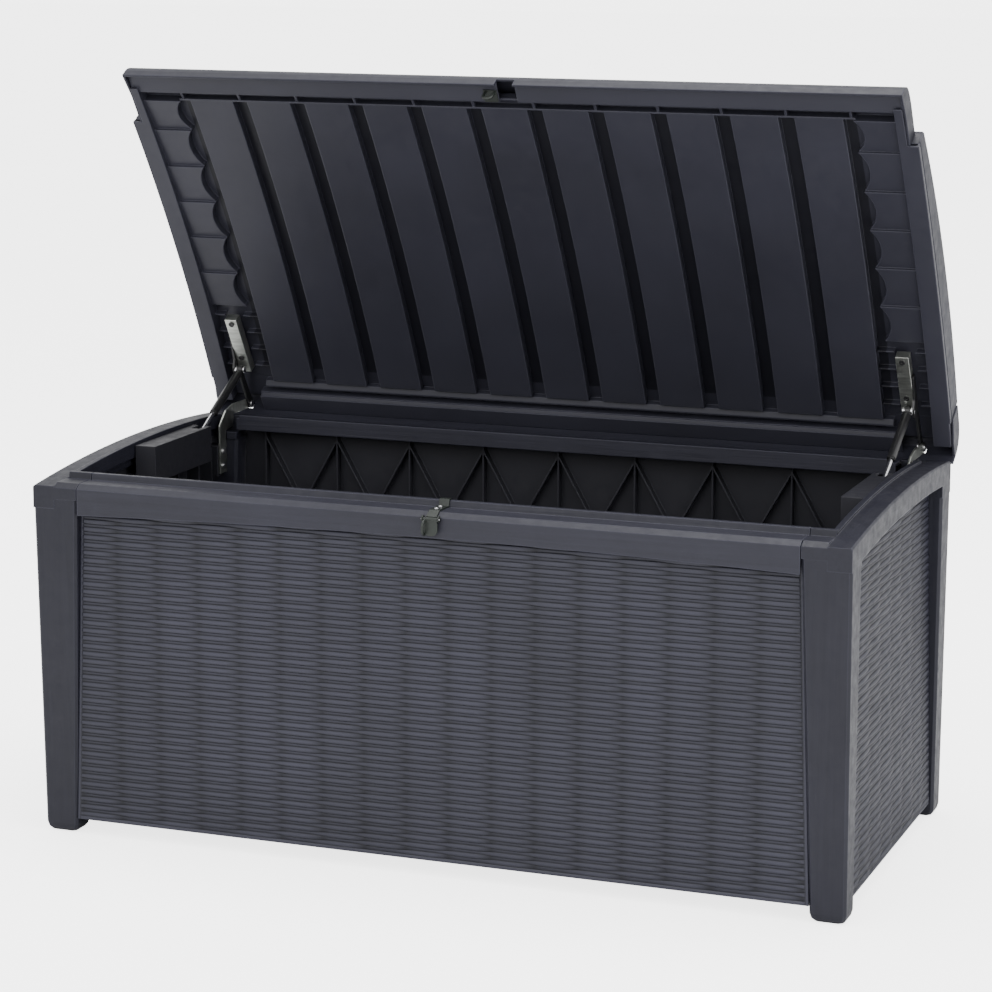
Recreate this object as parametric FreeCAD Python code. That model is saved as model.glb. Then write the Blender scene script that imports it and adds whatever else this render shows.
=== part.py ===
import FreeCAD, Part
import math
import os

# Deck storage box, modelled with its lid standing open on its struts.
# Millimetres, +Z up, +X to the viewer's right, +Y towards the back.
# The geometry is laid out with y = 0 at the front face of the rim and z = 0 at
# the feet, and is moved back by Y_SHIFT when it is written, so that the origin
# is at the bottom centre of the whole object.

V = FreeCAD.Vector

# ---------------------------------------------------------------- dimensions
WIDTH = 1290.0            # outside of the side rails
DEPTH = 630.0             # front face of front rim to back face of back rim
RIM_FRONT = 555.0         # side rim height at the front corner
RIM_MID = (300.0, 578.0)  # highest point of the arched side rim (y, z)
RIM_REAR = 569.0          # side rim height at the back corner
LEG_TOP_W, LEG_BOT_W = 74.0, 55.0     # leg width along X, top and bottom
LEG_TOP_D, LEG_BOT_D = 56.0, 45.0     # leg depth along Y, top and bottom
LEG_BACKSET = 14.6        # the front legs stand this far back at the floor
LEG_FORESET = 10.0        # the rear legs stand this far forward at the floor
LEG_WALL = 2.8
RAIL_W = 36.0             # side rail width along X
RAIL_H = 34.0             # side rail outer face height
FRONT_RAIL_H_END, FRONT_RAIL_H_MID = 41.0, 31.0
WALL_T = 2.6              # moulded wall thickness
PANEL_SET = 17.0          # front and back panels sit this far behind the rims
PANEL_BOT = 24.0          # bottom edge of the wicker panels
SIDE_SET_TOP, SIDE_SET_BOT = 24.0, 9.0   # side panel recess at top and bottom
LIP_W = 8.0               # weather lip inside the rim
FLOOR_Z = 40.0            # top of the floor
LID_FRONT, LID_REAR = -26.0, 674.0
LID_T_MID = (40.0, 63.0, 58.0)   # middle panel: thickness at its front, crown, back
FRONT_BOARD_T = 34.0      # lid thickness at the back edge of the front board
REAR_BOARD_T = 48.0       # lid thickness at the front edge of the rear board
LID_GAP = 1.6             # lid rim above the box rim when shut
RIB_Z = 20.0              # underside panel above the lid rim
PAD_PITCH = 99.0          # pitch of the front-to-back pads under the lid
PAD_W = 74.0
OPEN_DEG = 59.8           # lid travel from shut to standing open
HINGE_Y, HINGE_Z = 665.4, 581.6
MECH_X = 579.0            # middle plane of the strut and the lid bracket
APEX = (578.0, 565.6)     # strut stud on the lid arm, lid shut (y, z)
STRUT_FOOT = (436.0, 556.5)   # strut pivot on the side wall (y, z)
PIN_R = 4.0
RUN_CLR = 0.05            # radial running clearance of pins and studs
CYL_R, ROD_R = 7.0, 3.6
CYL_LEN = 110.0
LATCH_X = 15.0            # middle of the hasp
Y_SHIFT = 332.8

W2 = WIDTH / 2.0
os.makedirs("parts", exist_ok=True)


# ------------------------------------------------------------------- helpers
def box(x0, y0, z0, x1, y1, z1):
    return Part.makeBox(x1 - x0, y1 - y0, z1 - z0, V(x0, y0, z0))


def face(points):
    return Part.Face(Part.makePolygon([V(*p) for p in points] + [V(*points[0])]))


def prism_yz(pts, x0, x1):
    """Polygon of (y, z) extruded along X."""
    return face([(x0, y, z) for y, z in pts]).extrude(V(x1 - x0, 0, 0))


def prism_xz(pts, y0, y1):
    return face([(x, y0, z) for x, z in pts]).extrude(V(0, y1 - y0, 0))


def prism_xy(pts, z0, z1):
    return face([(x, y, z0) for x, y in pts]).extrude(V(0, 0, z1 - z0))


def cyl_x(x0, x1, y, z, r):
    return Part.makeCylinder(r, x1 - x0, V(x0, y, z), V(1, 0, 0))


def cyl_between(a, b, r):
    d = b.sub(a)
    return Part.makeCylinder(r, d.Length, a, d)


def fuse(shapes):
    s = shapes[0]
    if len(shapes) > 1:
        s = s.multiFuse(shapes[1:])
    return s.removeSplitter()


def loft(sections):
    wires = [Part.makePolygon([V(*p) for p in s] + [V(*s[0])]) for s in sections]
    return Part.makeLoft(wires, True, True)


def mirror(s):
    return s.mirror(V(0, 0, 0), V(1, 0, 0))


def circle_3(p0, p1, p2):
    (ax, ay), (bx, by), (cx, cy) = p0, p1, p2
    d = 2 * (ax * (by - cy) + bx * (cy - ay) + cx * (ay - by))
    ux = ((ax**2 + ay**2) * (by - cy) + (bx**2 + by**2) * (cy - ay)
          + (cx**2 + cy**2) * (ay - by)) / d
    uy = ((ax**2 + ay**2) * (cx - bx) + (bx**2 + by**2) * (ax - cx)
          + (cx**2 + cy**2) * (bx - ax)) / d
    return ux, uy, math.hypot(ax - ux, ay - uy)


ARC_Y, ARC_Z, ARC_R = circle_3((0.0, RIM_FRONT), RIM_MID, (DEPTH, RIM_REAR))


def rim(y, off=0.0):
    """Height of the side rim's arch at y, raised by off."""
    return ARC_Z + math.sqrt(ARC_R**2 - (y - ARC_Y)**2) + off


def arch_band(y0, y1, lo, hi, x0, x1):
    """Slab along X between two arches: heights above the rim line, or functions of y."""
    def at(y, off):
        return off(y) if callable(off) else rim(y, off)

    def arc(a, b, off):
        m = (a + b) / 2.0
        return Part.Arc(V(x0, a, at(a, off)), V(x0, m, at(m, off)),
                        V(x0, b, at(b, off))).toShape()
    e = [arc(y0, y1, lo),
         Part.makeLine(V(x0, y1, at(y1, lo)), V(x0, y1, at(y1, hi))),
         arc(y1, y0, hi),
         Part.makeLine(V(x0, y0, at(y0, hi)), V(x0, y0, at(y0, lo)))]
    return Part.Face(Part.Wire(e)).extrude(V(x1 - x0, 0, 0))


def open_lid(s):
    """Turn a lid piece from shut to standing open."""
    s = s.copy()
    s.rotate(V(0, HINGE_Y, HINGE_Z), V(1, 0, 0), -OPEN_DEG)
    return s


def open_pt(y, z):
    a = math.radians(-OPEN_DEG)
    dy, dz = y - HINGE_Y, z - HINGE_Z
    return (HINGE_Y + dy * math.cos(a) - dz * math.sin(a),
            HINGE_Z + dy * math.sin(a) + dz * math.cos(a))


written = []


def put(name, s):
    s = s.copy()
    s.translate(V(0, -Y_SHIFT, 0))
    bad = not s.isValid() or s.Volume <= 0
    s.exportStep("parts/%s.step" % name)
    written.append((name, s))
    print("%-26s solids %2d  vol %9.0f mm3 %s" % (name, len(s.Solids), s.Volume,
                                                 "BAD" if bad else ""))


# ---------------------------------------------------------- side frames, legs
def leg_section(z, x_in, y0, y1, c):
    """Chamfered rectangle: x from x_in to the outside face."""
    xo = W2 - (0.0 if z > 300 else 1.0)
    return [(x_in + c, y0, z), (xo - c, y0, z), (xo, y0 + c, z), (xo, y1 - c, z),
            (xo - c, y1, z), (x_in + c, y1, z), (x_in, y1 - c, z), (x_in, y0 + c, z)]


def leg(front):
    """Hollow tapered leg from the floor up to just under the rim."""
    t = LEG_WALL

    def sec(z, grow=0.0):
        k = z / 545.0
        w = LEG_BOT_W + (LEG_TOP_W - LEG_BOT_W) * k
        if front:
            y0 = LEG_BACKSET * (1 - k)
            y1 = LEG_BACKSET + LEG_BOT_D + (LEG_TOP_D - LEG_BACKSET - LEG_BOT_D) * k
        else:
            y1 = DEPTH - LEG_FORESET * (1 - k)
            y0 = (DEPTH - LEG_FORESET - LEG_BOT_D
                  + (LEG_FORESET + LEG_BOT_D - LEG_TOP_D) * k)
        xi = W2 - w
        xo = W2 - (1.0 - k)
        g, c = grow, 4.0
        return [(xi + c + g, y0 + g, z), (xo - c - g, y0 + g, z),
                (xo - g, y0 + c + g, z), (xo - g, y1 - c - g, z),
                (xo - c - g, y1 - g, z), (xi + c + g, y1 - g, z),
                (xi + g, y1 - c - g, z), (xi + g, y0 + c + g, z)]

    # rounded foot: three short sections drawn in towards the floor
    def foot(z, inset):
        s = sec(z)
        cx = sum(p[0] for p in s) / 8.0
        cy = sum(p[1] for p in s) / 8.0
        out = []
        for x, y, zz in s:
            dx, dy = x - cx, y - cy
            out.append((x - math.copysign(min(inset, abs(dx)), dx),
                        y - math.copysign(min(inset, abs(dy)), dy), zz))
        return out
    outer = fuse([loft([sec(14.0), sec(545.0)]),
                  loft([foot(0.0, 9.0), foot(2.0, 5.2)]),
                  loft([foot(2.0, 5.2), foot(6.0, 2.0)]),
                  loft([foot(6.0, 2.0), foot(14.0, 0.0)])])
    inner = loft([sec(18.0, t), sec(540.0, t)])
    return outer, inner


def side_frame():
    """Two legs and the arched rail between them, one hollow moulding."""
    fo, fi = leg(True)
    ro, ri = leg(False)
    xi_t = W2 - LEG_TOP_W
    # corner heads carry the rim profile across the top of each leg
    head_f = prism_yz([(0.0, 535.0), (0.0, RIM_FRONT - 2.0), (11.0, 560.0), (42.0, 560.0),
                       (45.5, 558.0), (49.5, 559.0), (52.0, 569.0), (60.0, 569.0),
                       (60.0, 535.0)], xi_t, W2 - RAIL_W + 0.01)
    head_r = prism_yz([(DEPTH, 535.0), (DEPTH, RIM_REAR - 3.0), (DEPTH - 9.0, 570.0),
                       (DEPTH - 42.0, 571.0), (DEPTH - 45.5, 569.5), (DEPTH - 49.5, 570.0),
                       (DEPTH - 52.0, 577.0), (DEPTH - 60.0, 577.0),
                       (DEPTH - 60.0, 535.0)], xi_t, W2 - RAIL_W + 0.01)
    rail = arch_band(0.0, DEPTH, -RAIL_H, 0.0, W2 - RAIL_W, W2)
    rail = rail.makeChamfer(2.5, [e for e in rail.Edges
                                  if abs(e.BoundBox.XMin - W2) < 1e-4
                                  and abs(e.BoundBox.XMax - W2) < 1e-4
                                  and e.BoundBox.YLength > 400 and e.BoundBox.ZMax > 577])
    front_head = box(W2 - RAIL_W, 0.0, 520.0, W2, 56.0, 545.0)
    rear_head = box(W2 - RAIL_W, DEPTH - 56.0, 520.0, W2, DEPTH, 545.0)
    lip = arch_band(52.0, DEPTH - 52.0, -20.0, 4.0, W2 - RAIL_W - LIP_W, W2 - RAIL_W + 0.5)
    outer = fuse([fo, ro, head_f, head_r, rail, front_head, rear_head, lip])
    hollow_rail = arch_band(60.0, DEPTH - 60.0, -RAIL_H - 1.0, -LEG_WALL,
                            W2 - RAIL_W + LEG_WALL, W2 - LEG_WALL)
    s = outer.cut(fi).cut(ri).cut(hollow_rail)
    # recess in the back corner for the strut, the lid arm and the hinge plate
    s = s.cut(box(565.0, 560.0, 547.0, 597.4, 604.0, 620.0))
    s = s.cut(box(588.0, 560.0, 530.0, 597.4, 573.9, 560.0))
    return s.removeSplitter()


frame_r = side_frame()
put("side_frame_right", frame_r)
put("side_frame_left", mirror(frame_r))

# --------------------------------------------------------------- side panels
SP_Y0, SP_Y1 = 60.6, DEPTH - 60.6      # between the legs


def side_x(z):
    """Outer face of the side panel, leaning outwards towards the floor."""
    k = (z - PANEL_BOT) / (540.0 - PANEL_BOT)
    return W2 - (SIDE_SET_BOT + (SIDE_SET_TOP - SIDE_SET_BOT) * k)


def side_panel():
    t = WALL_T
    ztop = 543.0
    zrib = 526.0
    skin = prism_xz([(side_x(PANEL_BOT), PANEL_BOT), (side_x(ztop), ztop),
                     (side_x(ztop) - t, ztop), (side_x(PANEL_BOT) - t, PANEL_BOT)],
                    SP_Y0, SP_Y1)
    xin = W2 - RAIL_W - LIP_W - 3.0     # inner edge of the ribs
    bits = [skin]
    # thin stiffening ribs with a flared foot
    for y, w in ((155.0, 3.0), (352.0, 3.0), (405.0, 3.0), (480.0, 3.0), (530.0, 3.0)):
        bits.append(prism_xz([(side_x(FLOOR_Z) - 1.0, FLOOR_Z + 2.0), (side_x(zrib) - 1.0, zrib),
                              (xin, zrib), (xin, 120.0), (xin + 4.0, 70.0), (xin + 16.0, FLOOR_Z + 2.0)],
                             y - w / 2, y + w / 2))
    # wide pillar
    pillar = prism_xz([(side_x(FLOOR_Z) - 1.0, FLOOR_Z + 2.0), (side_x(zrib) - 1.0, zrib),
                       (xin, zrib), (xin, FLOOR_Z + 2.0)], 240.0, 304.0)
    core = prism_xz([(side_x(FLOOR_Z) + 1.0, FLOOR_Z - 8.0), (side_x(zrib) + 1.0, zrib - 4.0),
                     (xin + t, zrib - 4.0), (xin + t, FLOOR_Z - 8.0)], 243.0, 301.0)
    bits.append(pillar.cut(core))
    # sill that carries the floor
    bits.append(box(xin - 20.0, SP_Y0, FLOOR_Z - 6.3, side_x(FLOOR_Z) - 1.0, SP_Y1, FLOOR_Z - 3.3))
    # moulded housing round the foot of the strut, open to the back
    seat = box(563.0, 253.0, 518.0, xin + 0.5, 457.0, 576.5)
    seat = seat.cut(box(566.0, 256.0, 500.0, 594.7, 470.0, 573.5))
    seat = seat.cut(box(571.2, 430.0, 560.0, 586.8, 470.0, 600.0))
    bits.append(seat)
    bits.append(box(594.7, 440.0, 518.0, xin + 0.5, 470.0, 576.5))
    # boss that the hinge plate is bolted to
    bits.append(box(594.1, 544.0, 474.0, 621.0, SP_Y1, 526.0))
    return fuse(bits)


sp = side_panel()
put("side_panel_right", sp)
put("side_panel_left", mirror(sp))


# ---------------------------------------------------------- front, back walls
def half_w(z):
    """Half width between the legs at height z, with a fitting gap."""
    k = z / 545.0
    return W2 - (LEG_BOT_W + (LEG_TOP_W - LEG_BOT_W) * k) - 0.5


def wall_panel(y_out, sign, diagonal):
    """Moulded wall: outer skin at y_out, ribs reaching inwards by sign."""
    zt = 556.0 if diagonal else 548.0
    t = WALL_T
    ya, yb = sorted((y_out, y_out + sign * t))
    skin = prism_xz([(-half_w(PANEL_BOT), PANEL_BOT), (half_w(PANEL_BOT), PANEL_BOT),
                     (half_w(zt), zt), (-half_w(zt), zt)], ya, yb)
    bits = [skin]
    deep = 15.0
    ra, rb = sorted((y_out + sign * (t - 0.5), y_out + sign * (t + deep)))
    for i in range(-4, 5):
        x = i * 132.0
        bits.append(box(x - 1.3, ra, FLOOR_Z + 2.0, x + 1.3, rb, zt - 4.0))
    bits.append(box(-565.0, ra, FLOOR_Z - 6.3, 565.0, rb, FLOOR_Z - 3.3))
    bits.append(box(-562.0, ra, 300.0, 562.0, rb, 302.6))
    if diagonal:
        for i in range(-4, 4):
            x0, x1 = i * 132.0, (i + 1) * 132.0
            for a, b in (((x0, 306.0), (x1, 540.0)), ((x1, 306.0), (x0, 540.0))):
                dx, dz = b[0] - a[0], b[1] - a[1]
                n = math.hypot(dx, dz)
                ox, oz = -dz / n * 1.3, dx / n * 1.3
                bits.append(prism_xz([(a[0] + ox, a[1] + oz), (b[0] + ox, b[1] + oz),
                                      (b[0] - ox, b[1] - oz), (a[0] - ox, a[1] - oz)], ra, rb))
    return fuse(bits)


put("front_panel", wall_panel(PANEL_SET, 1.0, False))
put("back_panel", wall_panel(DEPTH - PANEL_SET, -1.0, True))


# ----------------------------------------------------------- front, back rims
def rim_rail(front):
    """Rim moulding: outer skirt with an arched lower edge, top, weather lip."""
    hw = W2 - LEG_TOP_W - 1.2
    if front:
        top = [(0.0, RIM_FRONT - 12.0), (0.0, RIM_FRONT - 2.0), (11.0, 560.0), (42.0, 560.0),
               (45.5, 558.0), (49.5, 559.0), (52.0, 569.0), (60.0, 569.0), (60.0, 544.0),
               (57.0, 544.0), (57.0, 555.0), (3.5, 555.0 - 4.0), (3.5, RIM_FRONT - 12.0)]
        edge = RIM_FRONT - 2.0

        def yy(v):
            return v
    else:
        top = [(0.0, 555.0), (0.0, RIM_REAR - 3.0), (9.0, 570.0), (42.0, 571.0),
               (45.5, 569.5), (49.5, 570.0), (52.0, 577.0), (60.0, 577.0), (60.0, 552.0),
               (57.0, 552.0), (57.0, 566.0), (3.5, 563.0), (3.5, 555.0)]
        edge = RIM_REAR - 3.0

        def yy(v):
            return DEPTH - v
    s = prism_yz([(yy(a), b) for a, b in top], -hw, hw)
    z_end = edge - FRONT_RAIL_H_END - (0.0 if front else 10.0)
    z_mid = edge - FRONT_RAIL_H_MID - (0.0 if front else 10.0)
    ztop = edge - 6.0
    e = [Part.Arc(V(-hw, 0, z_end), V(0, 0, z_mid), V(hw, 0, z_end)).toShape(),
         Part.makeLine(V(hw, 0, z_end), V(hw, 0, ztop)),
         Part.makeLine(V(hw, 0, ztop), V(-hw, 0, ztop)),
         Part.makeLine(V(-hw, 0, ztop), V(-hw, 0, z_end))]
    skirt = Part.Face(Part.Wire(e)).extrude(V(0, 3.5, 0))
    if not front:
        skirt = skirt.mirror(V(0, 0, 0), V(0, 1, 0))
        skirt.translate(V(0, DEPTH, 0))
    bits = [s, skirt]
    for i in range(-4, 5):
        x = i * 125.0
        y0, y1 = sorted((yy(3.0), yy(14.5)))
        bits.append(box(x - 1.2, y0, edge - 26.0, x + 1.2, y1, edge - 3.0))
    s = fuse(bits)
    if not front:
        # the weather lip stops short of the lid brackets
        s = s.cut(box(565.3, 565.0, 571.6, 580.0, 583.0, 600.0))
        s = s.cut(box(-580.0, 565.0, 571.6, -565.3, 583.0, 600.0))
    return s


put("front_rim", rim_rail(True))
put("back_rim", rim_rail(False))

# --------------------------------------------------------------------- floor
FX, FY0, FY1 = 596.0, 20.8, DEPTH - 20.8


def floor():
    """Floor panel: plate with a grid of ribs below, resting on the wall sills."""
    z0, z1 = FLOOR_Z - 2.6, FLOOR_Z
    bits = [box(-FX, FY0, z0, FX, FY1, z1)]
    rx, ry0, ry1 = 560.0, 52.0, DEPTH - 52.0
    for i in range(-5, 6):
        x = i * rx / 5.0
        bits.append(box(x - 1.3, ry0, z0 - 13.0, x + 1.3, ry1, z0 + 0.5))
    for i in range(6):
        y = ry0 + (ry1 - ry0) * i / 5.0
        bits.append(box(-rx - 1.3, y - 1.3, z0 - 13.0, rx + 1.3, y + 1.3, z0 + 0.5))
    s = fuse(bits)
    # clear the four corner legs
    for x0, x1 in ((585.0, 700.0), (-700.0, -585.0)):
        s = s.cut(box(x0, 0.0, 0.0, x1, 62.0, 100.0))
        s = s.cut(box(x0, DEPTH - 62.0, 0.0, x1, DEPTH, 100.0))
    return s


put("floor_panel", floor())

# ------------------------------------------------------------ hinge box side
HP_X0, HP_X1 = 590.9, 593.9     # hinge plate
ARM_X0, ARM_X1 = 587.2, 590.4   # lid arm


def hinge_plate():
    """Steel gooseneck: bolted inside the back corner, reaching over the rim."""
    pts = [(548.0, 478.0), (572.6, 478.0), (572.6, 549.5), (599.0, 552.5), (604.0, 573.0),
           (HINGE_Y, HINGE_Z - 8.0), (HINGE_Y, HINGE_Z + 8.0), (602.0, 590.0), (574.0, 583.0),
           (548.0, 560.0)]
    s = prism_yz(pts, HP_X0, HP_X1).fuse(cyl_x(HP_X0, HP_X1, HINGE_Y, HINGE_Z, 8.0))
    s = s.cut(cyl_x(HP_X0 - 1, HP_X1 + 1, HINGE_Y, HINGE_Z, PIN_R + 0.01))
    for z in (490.0, 515.0):
        s = s.cut(cyl_x(HP_X0 - 1, HP_X1 + 1, 560.0, z, 3.1))
    return s.removeSplitter()


hp = hinge_plate()
put("hinge_plate_right", hp)
put("hinge_plate_left", mirror(hp))
pin = cyl_x(585.4, 595.0, HINGE_Y, HINGE_Z, PIN_R).fuse(
    cyl_x(583.4, 585.5, HINGE_Y, HINGE_Z, 7.0)).fuse(cyl_x(594.0, 596.0, HINGE_Y, HINGE_Z, 6.4))
put("hinge_pin_right", pin.removeSplitter())
put("hinge_pin_left", mirror(pin.removeSplitter()))


def screw_x(x_face, y, z, r=3.0, out=-1.0, length=9.0):
    """Pan head screw along X: head on the -X side of x_face when out is -1."""
    head = Part.makeCylinder(5.2, 2.2, V(x_face, y, z), V(out, 0, 0))
    dome = Part.makeCone(5.2, 3.4, 1.1, V(x_face + out * 2.2, y, z), V(out, 0, 0))
    shank = Part.makeCylinder(r, length, V(x_face, y, z), V(-out, 0, 0))
    return head.fuse(dome).fuse(shank).removeSplitter()


hs = [screw_x(HP_X0 - 0.02, 560.0, z, length=3.15) for z in (490.0, 515.0)]
put("hinge_plate_screws", Part.makeCompound(hs + [mirror(s) for s in hs]))

# -------------------------------------------------------- strut foot brackets
SB_X0, SB_X1 = 592.0, 594.6


def strut_bracket():
    y, z = STRUT_FOOT
    s = prism_yz([(y - 24.0, z - 18.0), (y + 24.0, z - 18.0), (y + 24.0, z + 10.0),
                  (y + 14.0, z + 14.0), (y - 14.0, z + 14.0), (y - 24.0, z + 10.0)], SB_X0, SB_X1)
    s = s.fuse(cyl_x(583.8, SB_X0 + 0.5, y, z, 5.2))
    for dy in (-18.0, 18.0):
        s = s.cut(cyl_x(SB_X0 - 1, SB_X1 + 1, y + dy, z - 11.0, 2.3))
    return s.removeSplitter()


sb = strut_bracket()
put("strut_bracket_right", sb)
put("strut_bracket_left", mirror(sb))
ss = []
for dy in (-18.0, 18.0):
    y, z = STRUT_FOOT[0] + dy, STRUT_FOOT[1] - 11.0
    ss.append(cyl_x(589.9, SB_X0 - 0.02, y, z, 3.8).fuse(cyl_x(591.0, SB_X1, y, z, 2.2)).removeSplitter())
put("strut_bracket_screws", Part.makeCompound(ss + [mirror(s) for s in ss]))

# -------------------------------------------------------------------- latch
HA_Y, HA_Z = -6.2, 551.5       # hasp axis
lx = LATCH_X
ear = [(-9.6, 549.0), (-7.0, 547.6), (-0.4, 547.6), (-0.4, 555.4), (-5.0, 556.6), (-9.6, 554.4)]
plate = fuse([
    # strap over the rim, from the pivot up to the weather lip
    prism_yz([(-3.0, 548.0), (-0.4, 548.0), (-0.4, 553.4), (11.0, 560.2), (42.2, 560.2), (46.0, 558.4),
              (49.2, 559.4), (51.6, 569.2), (58.0, 569.2), (58.0, 571.4), (50.0, 571.4), (47.2, 561.4),
              (42.8, 562.4), (10.2, 562.4), (-3.0, 554.8)], lx - 8.0, lx + 8.0),
    prism_yz([(-3.0, 547.6), (-0.4, 547.6), (-0.4, 553.2), (-3.0, 553.2)], lx - 13.6, lx + 13.6),
    prism_yz(ear, lx - 13.6, lx - 11.2), prism_yz(ear, lx + 11.2, lx + 13.6)])
plate = plate.cut(cyl_x(lx - 20, lx + 20, HA_Y, HA_Z, 1.61))
put("latch_plate", plate.cut(cyl_x(lx - 11.0, lx + 11.0, HA_Y, HA_Z, 3.5)))
put("latch_pin", cyl_x(lx - 14.6, lx + 14.6, HA_Y, HA_Z, 1.6))
put("latch_screws", Part.makeCompound([
    Part.makeCylinder(3.2, 1.5, V(lx, y, 562.42), V(0, 0, 1)).fuse(
        Part.makeCone(3.2, 2.2, 0.7, V(lx, y, 563.92), V(0, 0, 1))).removeSplitter() for y in (18.0, 34.0)]))


def hasp():
    barrel = cyl_x(lx - 10.8, lx + 10.8, HA_Y, HA_Z, 2.9)
    # tab: rounded shield shape hanging in front of the rim
    y0, y1 = -8.6, -6.0
    tab = prism_xz([(lx - 10.8, 551.0), (lx + 10.8, 551.0), (lx + 10.8, 546.8), (lx + 11.6, 545.4), (lx + 11.6, 534.0),
                    (lx + 9.0, 529.0), (lx + 4.0, 526.6), (lx - 3.0, 526.6), (lx - 8.0, 529.0),
                    (lx - 10.8, 534.0)], y0, y1)
    ring = Part.makeTorus(10.6, 2.1, V(lx - 8.6, y0 + 1.4, 539.0), V(1, 0, 0))
    ring = ring.common(box(lx - 20.0, y0 - 30.0, 500.0, lx + 20.0, y0 + 0.6, 600.0))
    s = fuse([barrel, tab, ring])
    return s.cut(cyl_x(lx - 20, lx + 20, HA_Y, HA_Z, 1.6 + RUN_CLR))


put("latch_hasp", hasp())

# ----------------------------------------------------------------- lid pieces
# All lid pieces are drawn with the lid shut and then turned open.
LB = LID_GAP              # lid rim line above the box rim line
FB_Y1 = 72.0              # back edge of the front board
RB_Y0 = 606.0             # front edge of the rear board
XF, XM, XR = 630.0, 643.0, 645.0   # half lengths: front board, middle, rear board


def notch(s):
    """Room for the latch under the lid's front edge."""
    return s.cut(box(lx - 15.6, -30.0, 540.0, lx + 13.8, 46.0, 567.2))


CR_Y, CR_Z, CR_R = circle_3((FB_Y1, rim(FB_Y1, LB + LID_T_MID[0])), (330.0, rim(330.0, LB + LID_T_MID[1])),
                            (RB_Y0, rim(RB_Y0, LB + LID_T_MID[2])))


def crown(off):
    """Height of the middle panel's arched top, as a function of y, raised by off."""
    return lambda y: CR_Z + math.sqrt((CR_R + off)**2 - (y - CR_Y)**2)


def front_board():
    """Rounded nose board along the front edge, a 3.5 mm shell, capped ends."""
    f = LID_FRONT
    zt = rim(FB_Y1, LB + FRONT_BOARD_T)
    zb = 553.0
    outer = [(f, zb), (f, zb + 13.0), (f + 0.8, zb + 18.5), (f + 2.6, zb + 24.0), (f + 6.0, zb + 30.0),
             (f + 11.0, zb + 34.8), (f + 18.0, zb + 38.4), (f + 27.0, zb + 41.0), (20.0, zt - 1.8), (FB_Y1, zt)]
    inner = [(FB_Y1, zt - 3.5), (20.0, zt - 5.3), (f + 28.0, zb + 37.6), (f + 19.2, zb + 35.0),
             (f + 13.2, zb + 32.0), (f + 8.8, zb + 27.8), (f + 6.0, zb + 22.8), (f + 4.3, zb + 17.8),
             (f + 3.5, zb + 12.6), (f + 3.5, zb)]
    shell = prism_yz(outer + inner, -XF, XF)
    solid = outer + [(FB_Y1, rim(FB_Y1, 2.6)), (20.0, rim(20.0, 4.4)), (f + 3.6, zb)]
    cap = prism_yz(solid, XF - 3.5, XF)
    return notch(fuse([shell, cap, mirror(cap)]))


put("lid_front_board", open_lid(front_board()))


def rear_board():
    """Rounded board along the back edge; its skirt hangs down behind the box."""
    r = LID_REAR
    a = rim(RB_Y0, LB + REAR_BOARD_T)
    outer = [(RB_Y0, a), (r - 34.0, a - 2.6), (r - 23.0, a - 6.0), (r - 13.0, a - 12.0), (r - 6.0, a - 20.0),
             (r - 1.6, a - 31.0), (r, a - 43.0), (r, 556.0)]
    inner = [(r - 3.5, 556.0), (r - 3.5, a - 42.6), (r - 5.0, a - 31.8), (r - 9.2, a - 21.6), (r - 15.2, a - 14.8),
             (r - 24.4, a - 9.3), (r - 34.6, a - 6.1), (RB_Y0, a - 3.5)]
    shell = prism_yz(outer + inner, -XR, XR)
    solid = outer[:7] + [(r, 571.0), (r - 3.6, 571.0), (645.0, 573.0), (RB_Y0, rim(RB_Y0, 14.0))]
    cap = prism_yz(solid, XR - 3.5, XR)
    s = fuse([shell, cap, mirror(cap)])
    # room for the hinge knuckles
    for x0, x1 in ((582.6, 597.0), (-597.0, -582.6)):
        s = s.cut(cyl_x(x0, x1, HINGE_Y, HINGE_Z, 9.0))
    return s


put("lid_rear_board", open_lid(rear_board()))


def top_panel():
    """Arched middle of the lid with plank grooves and its two side skirts."""
    y0, y1 = FB_Y1 + 0.5, RB_Y0 - 0.5
    top = arch_band(y0, y1, crown(-3.2), crown(0.0), -XM, XM)
    skirt = arch_band(y0, y1, LB + 12.0, crown(-1.0), XM - 3.5, XM)
    s = fuse([top, skirt, mirror(skirt)])
    edges = [e for e in s.Edges if e.BoundBox.YLength > 400 and abs(abs(e.BoundBox.XMin) - XM) < 1e-3
             and abs(abs(e.BoundBox.XMax) - XM) < 1e-3 and e.BoundBox.ZMax > 610.0]
    s = s.makeChamfer(3.0, edges)
    for i in range(-5, 7):
        x = (i - 0.5) * PAD_PITCH
        s = s.cut(arch_band(y0 - 5, y1 + 5, crown(-1.8), crown(5.0), x - 2.5, x + 2.5))
    return s


put("lid_top_panel", open_lid(top_panel()))


LEDGES = (31.0, 92.0, 168.0, 242.0, 316.0, 390.0, 460.0)   # steps along each end of the lid


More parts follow.
